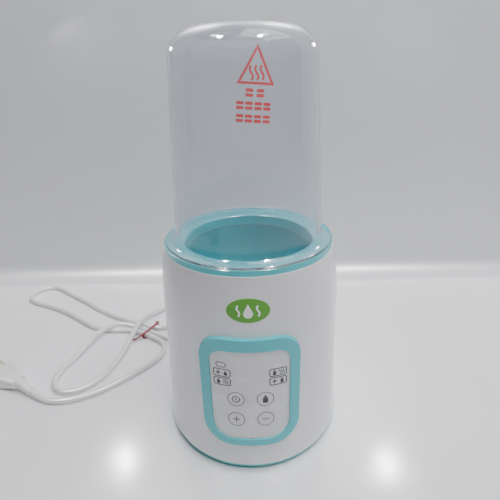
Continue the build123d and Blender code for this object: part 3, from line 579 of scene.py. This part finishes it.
mode_azimuth = 15.4
upper_mode = 93.7
lower_mode = 86.2
mode_boxes = {
    "thaw": (-mode_azimuth, upper_mode),
    "warm": (-mode_azimuth, lower_mode),
    "steam": (mode_azimuth, upper_mode),
    "shine": (mode_azimuth, lower_mode),
}
# each box has two small pictograms, this far left and right of its middle
beside = 2.7
thin = 0.65
for name, (azimuth, height) in mode_boxes.items():
    box = Sheet("mark_" + name, "touch_panel", azimuth, height, print_grey)
    box.stroke(rounded_box((0, 0), 12.2, 6.1, 1.3), 0.8, True)
    if name == "thaw":
        for turn in (0, 60, 120):
            dx, dy = 1.9 * math.cos(math.radians(turn)), 1.9 * math.sin(math.radians(turn))
            box.stroke([(-beside - dx, -dy), (-beside + dx, dy)], thin)
        box.fill(drop((beside, 0), 4.4))
    if name == "warm":
        bottle(box, -beside, 0, 4.8)
        for lift in (-1.3, 0, 1.3):
            box.stroke(flat_wave((beside, lift), 4.2, 0.35), thin)
    if name == "steam":
        bottle(box, -beside, 0, 4.8)
        for step in (-1.4, 0, 1.4):
            box.stroke(wave((beside + step, 0), 3.9, 0.35), thin)
    if name == "shine":
        bottle(box, beside, 0, 4.8)
        box.stroke([(-beside, -2.1), (-beside, 2.1)], 0.7)
        box.stroke([(-beside - 1.9, 0), (-beside + 1.9, 0)], 0.7)
        box.fill(ring((-beside, 0), 0.9))
    box.done()

seal = Sheet("mark_badge", "badge", 0, 142.6, print_white)
seal.fill(drop((0, -0.2), 10.0))
for side in (-1, 1):
    seal.stroke(wave((side * 6.6, 0), 7.6, 0.9), 1.2)
seal.done()

warning = Sheet("mark_hot", "dome_cover", 9.0, 282.7, print_red)
warning.stroke([(1.47, 12.3), (-9.6, -5.0), (9.3, -6.5)], 1.35, True)
for step in (-3.0, 0.0, 3.0):
    warning.stroke(wave((0.55 + step, -0.6), 7.4, 0.8), 1.15)
warning.done()
# three short rows of dashes under the triangle: azimuth, height and places along the row
caution_lean = -4.9
dash_offset = 1.25
print_rows = {
    "first": (8.1, 272.0, (-3.1, 3.1)),
    "second": (7.0, 265.3, (-7.7, -2.6, 2.6, 7.7)),
    "third": (6.4, 258.5, (-7.7, -2.6, 2.6, 7.7)),
}
for name, (azimuth, height, places) in print_rows.items():
    row = Sheet("print_row_" + name, "dome_cover", azimuth, height, print_red, lean=caution_lean)
    for x in places:
        for y in (dash_offset, -dash_offset):
            row.fill(rounded_box((x, y), 4.3, 1.75, 0.5))
    row.done()


# ---- tie tails -----------------------------------------------------------------------------
def tape(name, line, wide, thick, material):
    """A flat tape swept along a line, lying as level as it can."""
    points, faces = [], []
    for i, p in enumerate(line):
        ahead = (line[min(i + 1, len(line) - 1)] - line[max(i - 1, 0)]).normalized()
        side = ahead.cross(Vector((0, 0, 1))).normalized()
        top = side.cross(ahead)
        for a, b in ((-1, -1), (1, -1), (1, 1), (-1, 1)):
            points.append(p + side * (a * wide / 2) + top * (b * thick / 2))
        if i:
            k = 4 * i
            faces += [(k - 4 + j, k - 4 + (j + 1) % 4, k + (j + 1) % 4, k + j) for j in range(4)]
    faces += [(3, 2, 1, 0), tuple(range(len(points) - 4, len(points)))]
    mesh = bpy.data.meshes.new(name)
    mesh.from_pydata([tuple(p * MM) for p in points], [], faces)
    mesh.materials.append(material)
    piece = bpy.data.objects.new(name, mesh)
    scene.collection.objects.link(piece)
    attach(piece, "housing")
    return piece


def eased(points, steps=6):
    """A smooth line through given points."""
    out = []
    for i in range(len(points) - 1):
        a, b = points[max(i - 1, 0)], points[i]
        c, d = points[i + 1], points[min(i + 2, len(points) - 1)]
        for k in range(steps):
            t = k / steps
            curved = (2 * a - 5 * b + 4 * c - d) * t**2
            cubic = (3 * b - a - 3 * c + d) * t**3
            out.append(0.5 * (2 * b + (c - a) * t + curved + cubic))
    return [*out, points[-1]]


tie_middle = Vector((-125.6, 103.0, 0))
tie_along = Vector((0.88, -0.475, 0)).normalized()
tie_across = Vector((-tie_along.y, tie_along.x, 0))
tail_width = 3.0
tail_thickness = 0.6
# along the cord, across it and up, in millimetres
far_tail = [
    (0, 12.0, 7.9),
    (-0.8, 15.2, 6.9),
    (-3.0, 18.2, 4.6),
    (-6.5, 20.6, 2.4),
    (-10.5, 22.0, 1.4),
]
near_tail = [
    (0, -10.8, 7.9),
    (-0.8, -14.0, 6.9),
    (-3.2, -17.0, 4.4),
    (-7.0, -19.2, 2.2),
    (-11.5, -20.2, 1.3),
]
for name, offsets in (("tie_tail_far", far_tail), ("tie_tail_near", near_tail)):
    line = [
        tie_middle + tie_along * a + tie_across * c + Vector((0, 0, z)) for a, c, z in offsets
    ]
    tape(name, eased(line), tail_width, tail_thickness, tie_red)

# ---- floor, backdrop and light -------------------------------------------------------------
counter = surface("counter", (0.90, 0.90, 0.93), 0.17, grain=500.0, relief=0.004, shade=0.02)
backdrop = surface("backdrop", (0.70, 0.71, 0.74), 0.40, grain=300.0, relief=0.004, shade=0.02)
back_tree = backdrop.node_tree
# seen from behind, the wall is clear, so that the object can be viewed from the back
from_behind = back_tree.nodes.new("ShaderNodeNewGeometry").outputs["Backfacing"]
front = back_tree.nodes["Principled BSDF"].outputs[0]
clear = back_tree.nodes.new("ShaderNodeBsdfTransparent").outputs[0]
one_sided = mixed(back_tree, from_behind, front, clear)
back_tree.links.new(one_sided, back_tree.nodes["Material Output"].inputs["Surface"])

room_half_width = 4
wall_height = 3.0
wall_lift = 0.0002
cove_start = 0.230
cove_radius = 0.03
cove_steps = 24
corner_signs = ((-1, -1), (1, -1), (1, 1), (-1, 1))
floor_corners = [(x * room_half_width, y * room_half_width, 0) for x, y in corner_signs]
floor_mesh = bpy.data.meshes.new("floor")
floor_mesh.from_pydata(floor_corners, [], [(0, 1, 2, 3)])
floor_mesh.materials.append(counter)
floor = bpy.data.objects.new("floor", floor_mesh)
scene.collection.objects.link(floor)
profile = [(cove_start, wall_lift)]
for i in range(1, cove_steps + 1):
    turn = math.radians(90 * i / cove_steps)
    back = cove_start + cove_radius * math.sin(turn)
    profile.append((back, cove_radius * (1 - math.cos(turn)) + wall_lift))
profile.append((cove_start + cove_radius, wall_height))
wall_points = [(x, y, z) for y, z in profile for x in (-room_half_width, room_half_width)]
wall_faces = [(2 * i, 2 * i + 1, 2 * i + 3, 2 * i + 2) for i in range(len(profile) - 1)]
wall_mesh = bpy.data.meshes.new("wall")
wall_mesh.from_pydata(wall_points, [], wall_faces)
wall_mesh.materials.append(backdrop)
for face in wall_mesh.polygons:
    face.use_smooth = True
wall = bpy.data.objects.new("wall", wall_mesh)
scene.collection.objects.link(wall)

world = bpy.data.worlds.new("world")
world.use_nodes = True
sky = world.node_tree.nodes["Background"].inputs
sky["Color"].default_value = (0.95, 0.96, 1.0, 1)
sky["Strength"].default_value = 0.085
scene.world = world


def softbox(name, place, aim, wide, tall, power):
    """A white rectangular lamp, in metres and watts, turned towards a place."""
    data = bpy.data.lights.new(name, "AREA")
    data.shape = "RECTANGLE"
    data.size = wide
    data.size_y = tall
    data.energy = power
    light = bpy.data.objects.new(name, data)
    light.location = place
    light.rotation_mode = "QUATERNION"
    light.rotation_quaternion = (Vector(aim) - Vector(place)).to_track_quat("-Z", "Y")
    scene.collection.objects.link(light)
    return light


ceiling = softbox("ceiling", (0.60, -0.10, 1.65), (0, 0.05, 0), 1.4, 1.2, 39)
ceiling.visible_glossy = False
# small lamps that are only seen as highlights: place, aim, side and power
lamps = {
    "front_left": ((-0.586, -0.533, 1.5), (0, 0, 0.2), 0.14, 160),
    "front_right": ((0.487, -0.593, 1.5), (0, 0, 0.2), 0.14, 160),
    "counter_left": ((-0.254, 0.217, 0.375), (-0.104, -0.066, 0), 0.03, 0.7),
    "counter_right": ((0.239, 0.202, 0.375), (0.105, -0.073, 0), 0.03, 0.7),
}
for name, (place, aim, size, power) in lamps.items():
    spot = softbox("lamp_" + name, place, aim, size, size, power)
    spot.visible_diffuse = False
    spot.visible_camera = False
